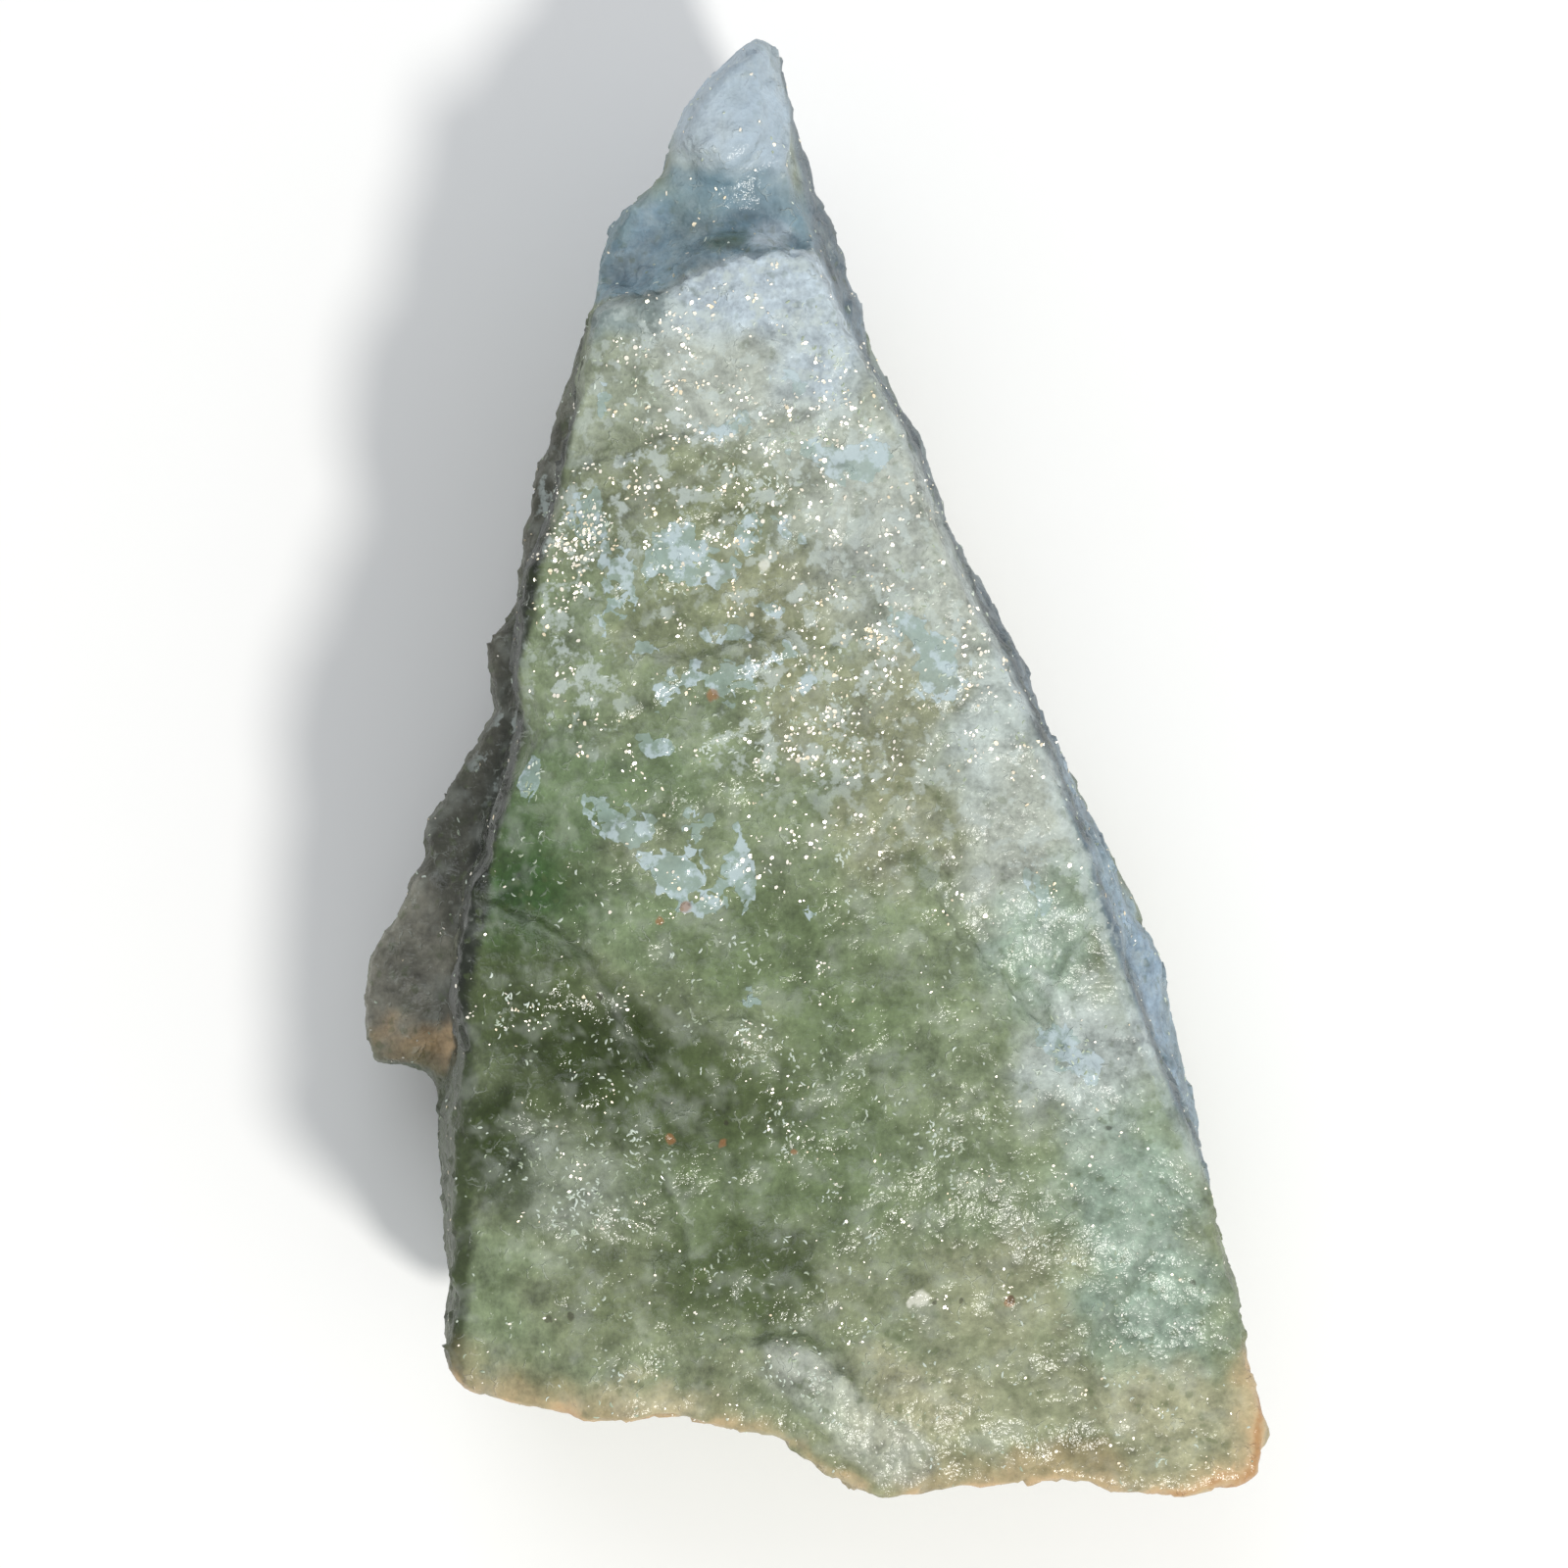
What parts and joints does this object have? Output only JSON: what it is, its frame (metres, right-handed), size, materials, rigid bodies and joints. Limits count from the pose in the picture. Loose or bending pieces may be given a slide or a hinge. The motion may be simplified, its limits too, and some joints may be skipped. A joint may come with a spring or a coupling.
{
  "type": "rough green aventurine stone",
  "caption": "Broken, unpolished lump of green mica quartz with a broad sugary face, a raised spire at one end and a lower side ledge, for display or set dressing.",
  "frame": {"origin": "on the surface that the stone rests on, under the middle of its bounding box", "axes": "+Z out of the broad face, +Y along the stone from its foot to its spire, +X across the broad face"},
  "size_m": [0.0692, 0.1104, 0.0348],
  "materials": {
    "aventurine": "rough broken green quartz, sugary and slightly translucent, with fine bright mica flakes"
  },
  "bodies": {
    "root": {"aventurine": "aventurine"}
  },
  "joints": []
}
